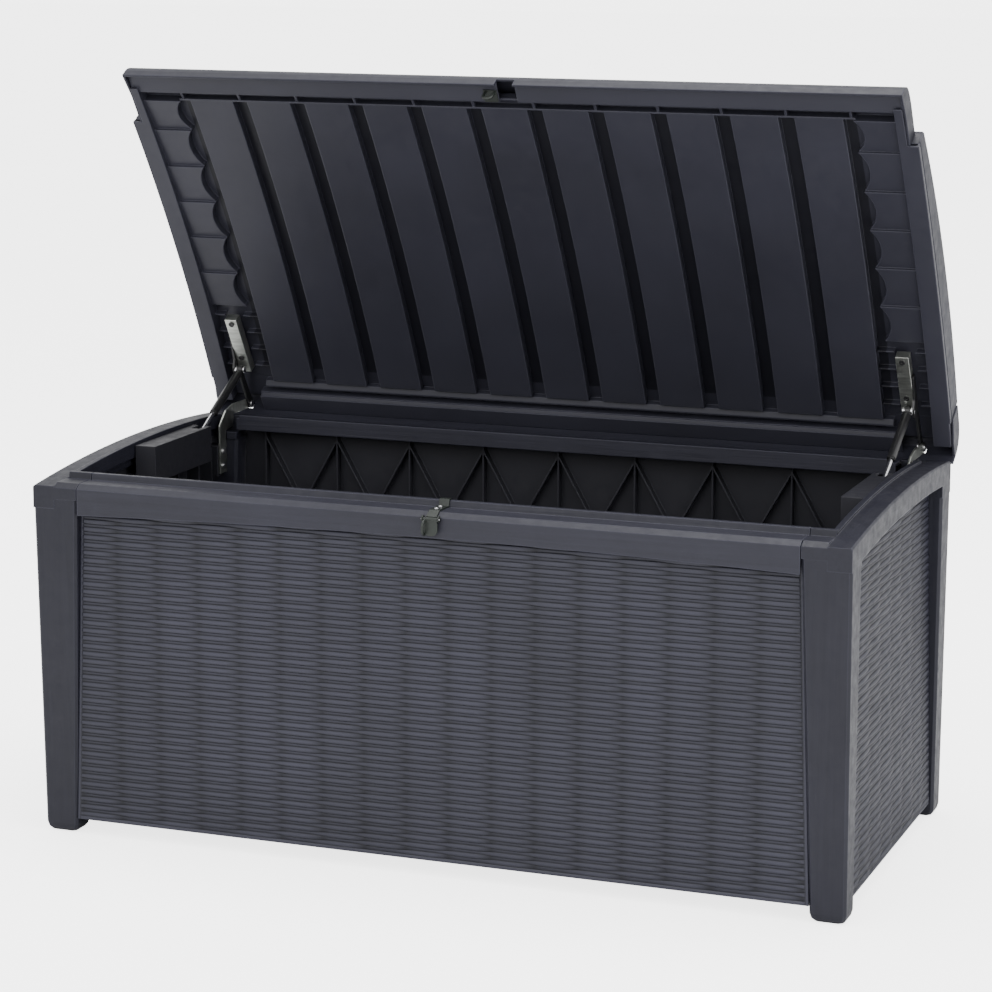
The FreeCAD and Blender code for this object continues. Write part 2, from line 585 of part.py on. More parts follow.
def end_step(ya, yb):
    """One hollow step beside the last pad, its inner edge scalloped."""
    top = LB + RIB_Z + 4.0
    xa, xb = 548.0, 614.0

    def block(g):
        ya_, yb_ = ya + g, yb - g
        body = prism_yz([(ya_, rim(ya_, LB + 6.0 + g)), (yb_, rim(yb_, LB + 11.0 + g)),
                         (yb_, rim(yb_, top + 3.0 * g)), (ya_, rim(ya_, top + 3.0 * g))], xa + g, xb)
        m = (ya_ + yb_) / 2.0
        arc = Part.Arc(V(xa + g, ya_, 500.0), V(xa + g + 13.0, m, 500.0), V(xa + g, yb_, 500.0)).toShape()
        edge = Part.Wire([arc, Part.makeLine(V(xa + g, yb_, 500.0), V(xa - 9.0, yb_, 500.0)),
                          Part.makeLine(V(xa - 9.0, yb_, 500.0), V(xa - 9.0, ya_, 500.0)),
                          Part.makeLine(V(xa - 9.0, ya_, 500.0), V(xa + g, ya_, 500.0))])
        return body.cut(Part.Face(edge).extrude(V(0, 0, 200.0)))
    return block(0.0).cut(block(2.4))


def underside():
    """Inner shell: perimeter rim, recessed panel with long pads, stepped ends."""
    ya, yb = LID_FRONT + 4.0, LID_REAR - 4.0
    cores = []
    zf = 562.2
    xi = 613.0
    bits = []
    # side rims follow the arch just above the box rim, with a small lip outside
    for y0, y1, xo in ((3.0, 72.5, 626.0), (72.4, 605.5, XM), (605.4, 650.0, 641.0)):
        bits.append(arch_band(y0, y1, LB, LB + 3.0, xi, xo))
        bits.append(arch_band(y0, y1, LB, LB + 8.0, xo - 3.0, xo))
    bits.append(arch_band(3.0, 650.0, LB, LB + RIB_Z + 4.0, xi, xi + 3.0))
    for y in LEDGES:
        bits.append(arch_band(y - 1.2, y + 1.2, LB + 1.0, LB + 7.0, xi + 1.0, 625.0))
        bits.append(end_step(y, LEDGES[LEDGES.index(y) + 1])) if y < LEDGES[-1] else None
    # short ribs on both sides of the lid bracket
    for y in (482.0, 516.0, 550.0, 584.0):
        for x0, x1 in ((533.0, 561.0), (594.5, 614.0)):
            bits.append(prism_yz([(y - 1.2, rim(y, LB + 12.5)), (y + 1.2, rim(y, LB + 12.5)),
                                  (y + 1.2, rim(y, LB + RIB_Z + 4.0)), (y - 1.2, rim(y, LB + RIB_Z + 4.0))], x0, x1))
    bits = [b for b in bits if b is not None]
    bits += [mirror(b) for b in bits]
    # front rim flange behind the nose board and its inner wall
    bits.append(prism_yz([(ya, zf), (12.0, zf), (12.0, zf + 3.0), (ya, zf + 3.0)], -626.0, 626.0))
    bits.append(prism_yz([(9.0, zf), (12.0, zf), (12.0, rim(12.0, RIB_Z + LB + 4.0)),
                          (9.0, rim(9.0, RIB_Z + LB + 4.0))], -626.0, 626.0))
    bits.append(prism_yz([(28.0, 570.0), (31.0, 570.0), (31.0, rim(31.0, RIB_Z + LB + 4.0)),
                          (28.0, rim(28.0, RIB_Z + LB + 4.0))], -551.0, 551.0))
    for i in range(-5, 7):
        x = (i - 0.5) * PAD_PITCH
        bits.append(prism_yz([(11.0, 568.0), (29.0, 572.0), (29.0, 583.0), (11.0, 581.0)], x - 2.0, x + 2.0))
    # rear rim flange and the two ledges in front of it
    bits.append(prism_yz([(641.0, 573.0), (yb, 573.0), (yb, 576.0), (641.0, 576.0)], -560.0, 560.0))
    bits.append(prism_yz([(636.0, 580.0), (639.0, 580.0), (639.0, rim(639.0, RIB_Z + LB + 4.0)),
                          (636.0, rim(636.0, RIB_Z + LB + 4.0))], -560.0, 560.0))
    bits.append(prism_yz([(638.0, 580.0), (642.0, 573.0), (645.0, 573.0), (641.0, 583.0), (638.0, 583.0)],
                         -560.0, 560.0))
    bits.append(prism_yz([(615.0, 586.0), (622.0, 580.5), (625.0, 580.5), (625.0, 596.0), (615.0, 596.0)],
                         -548.0, 548.0))
    # recessed panel
    bits.append(arch_band(9.5, 33.0, LB + RIB_Z + 3.4, LB + RIB_Z + 5.8, -xi - 2.0, xi + 2.0))
    bits.append(arch_band(609.0, 652.0, LB + RIB_Z + 3.4, LB + RIB_Z + 5.8, -xi - 2.0, xi + 2.0))
    for i in range(-6, 6):
        x0 = -xi - 1.6 if i == -6 else i * PAD_PITCH + PAD_W / 2 - 1.0
        x1 = xi + 1.6 if i == 5 else (i + 1) * PAD_PITCH - PAD_W / 2 + 1.0
        bits.append(arch_band(32.0, 611.0, LB + RIB_Z + 3.0, LB + RIB_Z + 5.4, x0, x1))
    # long pads that stand down from it
    for i in range(-5, 6):
        x = i * PAD_PITCH
        pad = arch_band(30.0, 612.0, LB + 9.8, LB + RIB_Z + 6.4, x - PAD_W / 2, x + PAD_W / 2)
        core = arch_band(32.6, 609.4, LB + 12.3, LB + RIB_Z + 9.0,
                         x - PAD_W / 2 + 2.5, x + PAD_W / 2 - 2.5)
        cores.append(core)
        bits.append(pad)
    s = fuse(bits)
    for k in cores:
        s = s.cut(k)
    return notch(s)


put("lid_underside", open_lid(underside()))

# brackets, arms and strut studs on the lid
BR_Y0, BR_Y1 = 478.0, 590.0
BR_X0, BR_X1 = 566.0, 587.0
BR_X = (BR_X0 + BR_X1) / 2.0
BR_HOLES = (487.0, 560.0)


def lid_z(y, n):
    """Height n above the straight chord of the lid rim."""
    return 555.2 + (y + 16.0) * (570.2 - 555.2) / 689.5 + n


def lid_bracket():
    """Zinc plated channel, its web towards the box."""
    x0, x1 = BR_X0, BR_X1
    def slab(n0, n1, xa, xb):
        return prism_yz([(BR_Y0, lid_z(BR_Y0, n0)), (BR_Y1, lid_z(BR_Y1, n0)),
                         (BR_Y1, lid_z(BR_Y1, n1)), (BR_Y0, lid_z(BR_Y0, n1))], xa, xb)
    s = fuse([slab(8.0, 10.2, x0, x1), slab(8.0, 24.0, x0, x0 + 2.2), slab(8.0, 24.0, x1 - 2.2, x1),
              prism_yz([(BR_Y0, lid_z(BR_Y0, 8.0)), (BR_Y0 + 2.2, lid_z(BR_Y0, 8.0)), (BR_Y0 + 2.2, lid_z(BR_Y0, 24.0)),
                        (BR_Y0, lid_z(BR_Y0, 24.0))], x0, x1)])
    for y in BR_HOLES:
        s = s.cut(Part.makeCylinder(3.4, 40.0, V(BR_X, y, lid_z(y, 0.0)), V(0, 0, 1)))
    # the pads' underside rises over the bracket's length: trim the flanges to it
    s = s.cut(arch_band(400.0, 652.0, LB + RIB_Z + 2.7, LB + RIB_Z + 30.0, 540.0, 620.0))
    return s.removeSplitter()


lb = lid_bracket()
put("lid_bracket_right", open_lid(lb))
put("lid_bracket_left", open_lid(mirror(lb)))


def lid_arm():
    """Flat steel arm from the bracket to the hinge pin, with the strut's ear."""
    ay, az = APEX
    pts = [(520.0, lid_z(520.0, 12.0)), (560.0, lid_z(560.0, 3.0)), (ay - 7.0, az - 5.5),
           (ay + 6.0, az - 6.5), (592.0, 567.0), (601.0, 573.6), (HINGE_Y, HINGE_Z - 8.0),
           (HINGE_Y + 1.0, HINGE_Z + 8.3), (ay + 16.0, az + 19.0), (540.0, lid_z(540.0, 20.0)),
           (520.0, lid_z(520.0, 20.0))]
    s = prism_yz(pts, ARM_X0, ARM_X1).fuse(cyl_x(ARM_X0, ARM_X1, HINGE_Y, HINGE_Z, 8.0))
    s = s.cut(cyl_x(ARM_X0 - 1, ARM_X1 + 1, HINGE_Y, HINGE_Z, PIN_R + RUN_CLR))
    s = s.cut(cyl_x(ARM_X0 - 1, ARM_X1 + 1, ay, az, PIN_R + 0.01))
    return s.removeSplitter()


la = lid_arm()
put("lid_arm_right", open_lid(la))
put("lid_arm_left", open_lid(mirror(la)))
stud = fuse([cyl_x(572.4, 590.6, APEX[0], APEX[1], PIN_R), cyl_x(571.0, 572.8, APEX[0], APEX[1], 5.6),
             cyl_x(584.4, 587.18, APEX[0], APEX[1], 6.4)])
put("strut_stud_right", open_lid(stud))
put("strut_stud_left", open_lid(mirror(stud)))
bs = []
for y in BR_HOLES:
    zz = lid_z(y, 8.0) - 0.13
    h = Part.makeCylinder(4.6, 2.0, V(BR_X, y, zz - 0.02), V(0, 0, -1))
    k = Part.makeCylinder(2.6, 12.0, V(BR_X, y, zz - 0.1), V(0, 0, 1))
    r = Part.makeCylinder(1.7, 1.2, V(BR_X, y, zz - 1.2), V(0, 0, -1))
    bs.append(h.fuse(k).cut(r).removeSplitter())
bs += [mirror(s) for s in bs]
put("lid_bracket_screws", Part.makeCompound([open_lid(s) for s in bs]))
rv = [cyl_x(583.0, 584.78, y, lid_z(y, 15.5), 3.6) for y in (526.0, 548.0)]
put("bracket_rivets", Part.makeCompound([open_lid(s) for s in rv + [mirror(r) for r in rv]]))

# loop on the lid, beside the hasp, that takes the padlock with it
kx = lx - 27.0
keep = Part.makeTorus(7.4, 2.2, V(kx, -7.6, 549.0), V(0, 1, 0))
keep = keep.common(box(kx - 12.0, -14.0, 530.0, kx + 12.0, 0.0, 549.0))
keep = fuse([keep, Part.makeCylinder(2.2, 13.0, V(kx - 7.4, -7.6, 549.0)),
             Part.makeCylinder(2.2, 13.0, V(kx + 7.4, -7.6, 549.0)),
             box(kx - 11.4, -10.2, 560.0, kx + 10.4, 11.0, 562.15)])
put("lid_keeper", open_lid(keep))

# -------------------------------------------------------------------- struts
ay, az = open_pt(*APEX)
fy, fz = STRUT_FOOT
A, F = V(MECH_X, ay, az), V(MECH_X, fy, fz)
D = F.sub(A)
L_OPEN = D.Length
D.normalize()
L_SHUT = math.hypot(APEX[0] - fy, APEX[1] - fz)
SX0, SX1 = 574.6, 583.4      # eye width


def cylinder():
    eye = cyl_x(SX0, SX1, ay, az, 7.6)
    neck = cyl_between(A.add(D * 5.0), A.add(D * 13.0), 4.6)
    body = cyl_between(A.add(D * 12.0), A.add(D * (12.0 + CYL_LEN)), CYL_R)
    gland = cyl_between(A.add(D * (11.8 + CYL_LEN)), A.add(D * (12.0 + CYL_LEN + 3.0)), CYL_R - 1.2)
    s = fuse([eye, neck, body, gland])
    s = s.cut(cyl_x(SX0 - 1, SX1 + 1, ay, az, PIN_R + RUN_CLR))
    return s.cut(cyl_between(A.add(D * 20.0), A.add(D * (12.0 + CYL_LEN + 4.0)), ROD_R + RUN_CLR))


def rod():
    eye = cyl_x(SX0, SX1, fy, fz, 6.4)
    stem = cyl_between(F.sub(D * (L_OPEN - 12.0 - CYL_LEN + 34.0)), F.sub(D * 4.0), ROD_R)
    sleeve = cyl_between(F.sub(D * 13.0), F.sub(D * 4.0), 4.2)
    cap = cyl_x(SX0 - 2.0, SX0 + 0.2, fy, fz, 5.0)
    return fuse([eye, stem, sleeve, cap])


cy, rd = cylinder(), rod()
put("strut_cylinder_right", cy)
put("strut_cylinder_left", mirror(cy))
put("strut_rod_right", rd)
put("strut_rod_left", mirror(rd))

# ------------------------------------------------------------------ summary
bb = None
for n, s in written:
    b = s.BoundBox
    bb = b if bb is None else bb.united(b)
print("bbox", [round(v, 2) for v in (bb.XMin, bb.YMin, bb.ZMin, bb.XMax, bb.YMax, bb.ZMax)],
      "y centre", round((bb.YMin + bb.YMax) / 2, 2))
print("nodes", len(written), "hinge", HINGE_Y - Y_SHIFT, HINGE_Z)
ang_open = math.degrees(math.atan2(D.z, D.y))
ang_shut = math.degrees(math.atan2(fz - APEX[1], fy - APEX[0]))
swing = (ang_shut - ang_open + 180) % 360 - 180
print("strut open", round(L_OPEN, 2), "shut", round(L_SHUT, 2), "abs swing", round(swing, 3),
      "rel to lid", round(swing - OPEN_DEG, 3), "dir", [round(v, 5) for v in (D.x, D.y, D.z)],
      "apex", round(ay - Y_SHIFT, 3), round(az, 3))
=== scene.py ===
import math
import bpy
import numpy as np
from mathutils import Matrix, Vector


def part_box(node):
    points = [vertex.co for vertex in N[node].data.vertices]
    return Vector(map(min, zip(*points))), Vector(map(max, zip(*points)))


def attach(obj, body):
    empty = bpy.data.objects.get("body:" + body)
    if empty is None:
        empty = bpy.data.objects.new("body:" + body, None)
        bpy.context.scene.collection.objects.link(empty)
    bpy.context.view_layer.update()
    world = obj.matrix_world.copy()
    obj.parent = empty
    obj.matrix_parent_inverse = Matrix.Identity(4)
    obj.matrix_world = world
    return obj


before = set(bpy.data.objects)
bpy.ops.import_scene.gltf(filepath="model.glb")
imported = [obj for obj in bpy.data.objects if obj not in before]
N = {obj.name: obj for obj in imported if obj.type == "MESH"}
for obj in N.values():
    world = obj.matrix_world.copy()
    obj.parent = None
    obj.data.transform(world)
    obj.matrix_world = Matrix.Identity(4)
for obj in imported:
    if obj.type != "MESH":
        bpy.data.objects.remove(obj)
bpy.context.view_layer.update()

YS = 0.3328              # the design's y = 0 (front of the rim) in the row frame is -YS
RNG = np.random.default_rng(7)


# --------------------------------------------------------------- node helpers
def new_mat(name):
    m = bpy.data.materials.new(name)
    m.use_nodes = True
    nt = m.node_tree
    nt.nodes.clear()
    out = nt.nodes.new("ShaderNodeOutputMaterial")
    bsdf = nt.nodes.new("ShaderNodeBsdfPrincipled")
    nt.links.new(bsdf.outputs[0], out.inputs[0])
    return m, nt, bsdf


def node(nt, kind, **kw):
    n = nt.nodes.new(kind)
    for k, v in kw.items():
        if k.startswith("i_"):
            n.inputs[k[2:].replace("_", " ")].default_value = v
        else:
            setattr(n, k, v)
    return n


def math_node(nt, op, a, b=None, clamp=False):
    n = nt.nodes.new("ShaderNodeMath")
    n.operation = op
    n.use_clamp = clamp
    for i, v in enumerate((a, b)):
        if v is None:
            continue
        if isinstance(v, (int, float)):
            n.inputs[i].default_value = v
        else:
            nt.links.new(v, n.inputs[i])
    return n.outputs[0]


def noise(nt, scale_vec, scale=1.0, detail=4.0, rough=0.55, loc=(0, 0, 0), rot=(0, 0, 0), dist=0.0):
    """Noise over the row frame, stretched by scale_vec (per metre)."""
    tc = nt.nodes.new("ShaderNodeTexCoord")
    mp = nt.nodes.new("ShaderNodeMapping")
    mp.inputs["Scale"].default_value = scale_vec
    mp.inputs["Location"].default_value = loc
    mp.inputs["Rotation"].default_value = rot
    nz = nt.nodes.new("ShaderNodeTexNoise")
    nz.inputs["Scale"].default_value = scale
    nz.inputs["Detail"].default_value = detail
    nz.inputs["Roughness"].default_value = rough
    nz.inputs["Distortion"].default_value = dist
    nt.links.new(tc.outputs["Object"], mp.inputs["Vector"])
    nt.links.new(mp.outputs[0], nz.inputs["Vector"])
    return nz.outputs["Fac"]


def ramp(nt, fac, a, b, lo=0.0, hi=1.0):
    """Map fac from a..b to lo..hi, clamped."""
    n = nt.nodes.new("ShaderNodeMapRange")
    n.inputs["From Min"].default_value = a
    n.inputs["From Max"].default_value = b
    n.inputs["To Min"].default_value = lo
    n.inputs["To Max"].default_value = hi
    nt.links.new(fac, n.inputs["Value"])
    return n.outputs[0]


def mix_col(nt, fac, a, b):
    n = nt.nodes.new("ShaderNodeMix")
    n.data_type = "RGBA"
    if isinstance(fac, (int, float)):
        n.inputs[0].default_value = fac
    else:
        nt.links.new(fac, n.inputs[0])
    for i, v in ((6, a), (7, b)):
        if isinstance(v, tuple):
            n.inputs[i].default_value = (*v, 1.0)
        else:
            nt.links.new(v, n.inputs[i])
    return n.outputs[2]


def mix_val(nt, fac, a, b):
    n = nt.nodes.new("ShaderNodeMix")
    n.data_type = "FLOAT"
    nt.links.new(fac, n.inputs[0])
    for i, v in ((2, a), (3, b)):
        if isinstance(v, (int, float)):
            n.inputs[i].default_value = v
        else:
            nt.links.new(v, n.inputs[i])
    return n.outputs[0]


def edge_mask(nt, radius, gain=9.0):
    """(bevel normal, mask that is 1 on convex and concave edges)."""
    bv = nt.nodes.new("ShaderNodeBevel")
    bv.samples = 6
    bv.inputs["Radius"].default_value = radius
    geo = nt.nodes.new("ShaderNodeNewGeometry")
    dot = nt.nodes.new("ShaderNodeVectorMath")
    dot.operation = "DOT_PRODUCT"
    nt.links.new(bv.outputs[0], dot.inputs[0])
    nt.links.new(geo.outputs["Normal"], dot.inputs[1])
    inv = math_node(nt, "SUBTRACT", 1.0, dot.outputs["Value"])
    return bv.outputs[0], math_node(nt, "MULTIPLY", inv, gain, clamp=True)


def resin(name, base, grain=None, grain_amt=0.5, rough=(0.40, 0.58), edge=0.0016, edge_highlight_tint=1.35,
          stipple=0.00005, streak=0.00016, dust=0.10, attr=None, spec=0.27):
    """Moulded resin: stippled skin, optional drawn grain, colour drift, smoother edges with a painted highlight in
    their colour, and optional painted light from a vertex attribute.
    """
    m, nt, b = new_mat(name)
    L = nt.links.new
    base = np.array(base)
    lo, hi = tuple(base * 0.88), tuple(base * 1.13)
    drift = noise(nt, (1.0, 1.0, 1.0), 5.0, 3.0, 0.5)
    col = mix_col(nt, ramp(nt, drift, 0.3, 0.7), lo, hi)
    height = None
    if grain is not None:
        if grain == "frame":        # along Z on the legs, along Y over the rails
            gz = noise(nt, (150.0, 150.0, 5.0), 1.0, 7.0, 0.62, dist=0.4)
            gy = noise(nt, (150.0, 5.0, 150.0), 1.0, 7.0, 0.62, dist=0.4)
            tc = nt.nodes.new("ShaderNodeTexCoord")
            sx = nt.nodes.new("ShaderNodeSeparateXYZ")
            L(tc.outputs["Object"], sx.inputs[0])
            up = ramp(nt, sx.outputs["Z"], 0.516, 0.524)
            g = mix_val(nt, up, gz, gy)
        else:
            g = noise(nt, grain, 1.0, 7.0, 0.62, dist=0.4)
        gm = ramp(nt, g, 0.36, 0.66)
        dark = nt.nodes.new("ShaderNodeMix")
        dark.data_type = "RGBA"
        dark.blend_type = "MULTIPLY"
        dark.inputs[0].default_value = grain_amt
        L(col, dark.inputs[6])
        gcol = mix_col(nt, gm, (0.66, 0.66, 0.68), (1.16, 1.16, 1.15))
        L(gcol, dark.inputs[7])
        col = dark.outputs[2]
        height = math_node(nt, "MULTIPLY", gm, streak * 1000.0)
    # dust and light scuffs
    sc = noise(nt, (9.0, 9.0, 9.0), 3.0, 8.0, 0.72, loc=(3.1, 1.7, 0.4))
    scm = ramp(nt, sc, 0.56, 0.74)
    col = mix_col(nt, math_node(nt, "MULTIPLY", scm, dust), col, tuple(np.minimum(base * 2.4 + 0.03, 1.0)))
    # painted light: the colour is multiplied by a per-vertex painted light, from 0.10 (painted shade) to 1.35 (painted
    # highlight)
    if attr:
        at = nt.nodes.new("ShaderNodeAttribute")
        at.attribute_name = attr
        shade = nt.nodes.new("ShaderNodeMix")
        shade.data_type = "RGBA"
        shade.blend_type = "MULTIPLY"
        shade.inputs[0].default_value = 1.0
        L(col, shade.inputs[6])
        L(mix_col(nt, at.outputs["Fac"], (0.10, 0.10, 0.11), (1.35, 1.35, 1.35)), shade.inputs[7])
        col = shade.outputs[2]
    bev, em = edge_mask(nt, edge)
    if not attr:
        # painted highlight: convex and concave edges are mixed towards a much lighter copy of the base colour
        col = mix_col(nt, math_node(nt, "MULTIPLY", em, 0.55), col, tuple(np.minimum(base * edge_highlight_tint * 1.6, 1.0)))
    L(col, b.inputs["Base Color"])
    rn = noise(nt, (30.0, 30.0, 30.0), 2.0, 5.0, 0.6, loc=(0.3, 5.0, 2.0))
    r = ramp(nt, rn, 0.3, 0.7, rough[0], rough[1])
    r = math_node(nt, "SUBTRACT", r, math_node(nt, "MULTIPLY", em, 0.07))
    L(r, b.inputs["Roughness"])
    st = noise(nt, (1.0, 1.0, 1.0), 1100.0, 2.0, 0.5)
    h = math_node(nt, "MULTIPLY", st, stipple * 1000.0)
    if height is not None:
        h = math_node(nt, "ADD", h, height)
    bump = nt.nodes.new("ShaderNodeBump")
    bump.inputs["Strength"].default_value = 1.0
    bump.inputs["Distance"].default_value = 0.001
    L(h, bump.inputs["Height"])
    L(bev, bump.inputs["Normal"])
    L(bump.outputs[0], b.inputs["Normal"])
    b.inputs["Specular IOR Level"].default_value = spec
    return m


def metal(name, base, rough=(0.25, 0.45), metallic=1.0, stretch=(40, 400, 40), rust=0.06, bump_mm=0.03, edge=0.0008):
    m, nt, b = new_mat(name)
    L = nt.links.new
    base = np.array(base)
    br = noise(nt, stretch, 1.0, 6.0, 0.6)
    sp = noise(nt, (1, 1, 1), 60.0, 6.0, 0.7, loc=(2, 0, 5))
    col = mix_col(nt, ramp(nt, br, 0.3, 0.7), tuple(base * 0.72), tuple(np.minimum(base * 1.18, 1.0)))
    col = mix_col(nt, math_node(nt, "MULTIPLY", ramp(nt, sp, 0.58, 0.72), rust), col, (0.10, 0.075, 0.05))
    bev, em = edge_mask(nt, edge)
    # painted highlight: edges and creases are mixed towards a lighter copy of the base colour
    col = mix_col(nt, math_node(nt, "MULTIPLY", em, 0.5), col, tuple(np.minimum(base * 1.5 + 0.02, 1.0)))
    L(col, b.inputs["Base Color"])
    r = ramp(nt, sp, 0.3, 0.7, rough[0], rough[1])
    L(r, b.inputs["Roughness"])
    b.inputs["Metallic"].default_value = metallic
    h = math_node(nt, "MULTIPLY", br, bump_mm)
    bump = nt.nodes.new("ShaderNodeBump")
    bump.inputs["Strength"].default_value = 1.0
    bump.inputs["Distance"].default_value = 0.001
    L(h, bump.inputs["Height"])
    L(bev, bump.inputs["Normal"])
    L(bump.outputs[0], b.inputs["Normal"])
    return m


HY, HZ, OPEN = 0.6654, 0.5816, math.radians(-59.8)
FRAME_C = (0.0138, 0.0140, 0.0215)
RIM_C = (0.0205, 0.0207, 0.0300)
WEAVE_C = (0.0250, 0.0252, 0.0365)
LID_C = (0.0180, 0.0182, 0.0265)
INNER_C = (0.0250, 0.0252, 0.0350)


def inner_resin():
    """Lid shell from below, with painted shade: the narrow bands between the pads lie deep and are painted dark."""
    m = resin("inner_resin", INNER_C, None, rough=(0.36, 0.50), dust=0.04, edge=0.0022, edge_highlight_tint=1.6)
    nt = m.node_tree
    b = next(n for n in nt.nodes if n.type == "BSDF_PRINCIPLED")
    col = b.inputs["Base Color"].links[0].from_socket
    tc = nt.nodes.new("ShaderNodeTexCoord")
    sx = nt.nodes.new("ShaderNodeSeparateXYZ")
    nt.links.new(tc.outputs["Object"], sx.inputs[0])
    ax = math_node(nt, "ABSOLUTE", sx.outputs["X"])
    # distance from the middle of the nearest band, in pad pitches
    t = math_node(nt, "ABSOLUTE", math_node(nt, "SUBTRACT", math_node(nt, "FRACT", math_node(nt, "MULTIPLY", ax, 1 / 0.099)), 0.5))
    painted_shade_band = math_node(nt, "LESS_THAN", t, 0.1235)
    painted_shade_band = math_node(nt, "MULTIPLY", painted_shade_band, math_node(nt, "LESS_THAN", ax, 0.5475))
    # only along the pads: depth from the front, measured on the shut lid
    M = N["lid_underside"].matrix_world
    co, si = math.cos(OPEN), math.sin(OPEN)
    k = [co * M[1][i] + si * M[2][i] for i in range(4)]
    d = math_node(nt, "ADD", math_node(nt, "MULTIPLY", sx.outputs["Y"], k[1]), math_node(nt, "MULTIPLY", sx.outputs["Z"], k[2]))
    d = math_node(nt, "ADD", d, HY + k[3] + (YS - HY) * co - HZ * si)
    painted_shade_band = math_node(nt, "MULTIPLY", painted_shade_band, math_node(nt, "GREATER_THAN", d, 0.036))
    painted_shade_band = math_node(nt, "MULTIPLY", painted_shade_band, math_node(nt, "LESS_THAN", d, 0.592))
    # painted shade: the deep bands between the pads are mixed towards near-black
    painted_shade_col = mix_col(nt, math_node(nt, "MULTIPLY", painted_shade_band, 0.72), col, (0.0030, 0.0030, 0.0048))
    nt.links.new(painted_shade_col, b.inputs["Base Color"])
    return m


MAT = {
    "frame": resin("frame_resin", FRAME_C, "frame", 0.35, edge=0.0022, edge_highlight_tint=1.9, dust=0.07),
    "rim": resin("rim_resin", RIM_C, (5.0, 150.0, 150.0), 0.35, edge=0.0022, edge_highlight_tint=1.9, dust=0.07),
    "lid": resin("lid_resin", LID_C, (150.0, 5.0, 30.0), 0.35, edge=0.0022, edge_highlight_tint=2.0, dust=0.07),
    "board": resin("board_resin", LID_C, (5.0, 110.0, 110.0), 0.4, edge=0.0024, edge_highlight_tint=2.2, dust=0.07),
    "inner": inner_resin(),
    "wall": resin("wall_resin", (0.018, 0.018, 0.023), None, rough=(0.42, 0.6), dust=0.06),
    "floor": resin("floor_resin", (0.020, 0.020, 0.025), None, rough=(0.45, 0.65), dust=0.14),
    "weave": resin("weave_resin", WEAVE_C, None, rough=(0.34, 0.46), dust=0.04, attr="relief", edge=0.0004,
                   stipple=0.00003),
    # painted shade: a darker, less shiny copy of the weave colour for the side panels
    "weave_side_shaded": resin("weave_side_resin", (0.0185, 0.0187, 0.0280), None, rough=(0.40, 0.52), dust=0.02, attr="relief",
                        edge=0.0004, stipple=0.00003, spec=0.10),
    "zinc": metal("zinc_steel", (0.55, 0.57, 0.53), (0.30, 0.46), edge=0.0012),
    "bright": metal("bright_steel", (0.78, 0.78, 0.80), (0.10, 0.24), rust=0.02, bump_mm=0.01),
    "fastener": metal("fastener_steel", (0.5, 0.5, 0.52), (0.25, 0.4)),
    "black": metal("black_steel", (0.012, 0.012, 0.013), (0.26, 0.40), metallic=0.0, rust=0.02),
    "latch": metal("latch_black", (0.014, 0.018, 0.015), (0.3, 0.5), metallic=0.25, rust=0.05),
}


def paint(names, key):
    for n in names:
        o = N[n]
        o.data.materials.clear()
        o.data.materials.append(MAT[key])


paint(["side_frame_right", "side_frame_left"], "frame")
paint(["front_rim", "back_rim"], "rim")
paint(["front_panel", "back_panel", "side_panel_right", "side_panel_left"], "wall")
paint(["floor_panel"], "floor")
paint(["lid_top_panel"], "lid")
paint(["lid_front_board", "lid_rear_board"], "board")
paint(["lid_underside"], "inner")
paint(["hinge_plate_right", "hinge_plate_left", "strut_bracket_right", "strut_bracket_left",
       "lid_bracket_right", "lid_bracket_left"], "zinc")
paint(["hinge_pin_right", "hinge_pin_left", "strut_stud_right", "strut_stud_left",
       "strut_rod_right", "strut_rod_left"], "bright")
paint(["hinge_plate_screws", "strut_bracket_screws", "latch_screws", "bracket_rivets", "latch_pin"], "fastener")
paint(["lid_arm_right", "lid_arm_left", "strut_cylinder_right", "strut_cylinder_left",
       "lid_bracket_screws"], "black")
paint(["latch_plate", "latch_hasp", "lid_keeper"], "latch")


# --------------------------------------------- end walls of the lid's middle panel
def turned(x, y, z):
    """A point of the shut lid, in design metres, where it stands when open, in the row frame."""
    dy, dz = y - HY, z - HZ
    return (x, HY + dy * math.cos(OPEN) - dz * math.sin(OPEN) - YS, HZ + dy * math.sin(OPEN) + dz * math.cos(OPEN))


def end_wall(name, y0, y1, foot, lo, hi):
    """Folded-down end of the middle panel, closing its step against the board."""
    x = 0.6424
    c = 0.0030
    prof = [(-x, foot), (-0.6272, foot), (-0.6272, lo), (0.6272, lo), (0.6272, foot), (x, foot), (x, hi - c), (x - c, hi), (-x + c, hi), (-x, hi - c)]
    vs = [turned(px, y0, pz) for px, pz in prof] + [turned(px, y1, pz) for px, pz in prof]
    n = len(prof)
    fs = [tuple(range(n)), tuple(range(2 * n - 1, n - 1, -1))]
    fs += [(i, n + i, n + (i + 1) % n, (i + 1) % n) for i in range(n)]
    me = bpy.data.meshes.new(name)
    me.from_pydata(vs, [], fs)
    me.validate()
    me.update()
    o = bpy.data.objects.new(name, me)
    bpy.context.collection.objects.link(o)
    me.materials.append(MAT["board"])
    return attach(o, "lid")


end_wall("lid_end_front", 0.0728, 0.0762, 0.5736, 0.5920, 0.6024)
end_wall("lid_end_back", 0.6018, 0.6052, 0.6100, 0.6120, 0.6282)


# ------------------------------------------------------------ moulded weave
PITCH = 6.15e-3          # strand to strand
STAKE = 68.0e-3          # stake to stake
HALF = PITCH * 0.66      # half height of a strand where it comes forward
AMP = 1.05e-3            # in and out
DEEP = 1.9e-3            # roundness of a strand
GROOVE = 0.30e-3


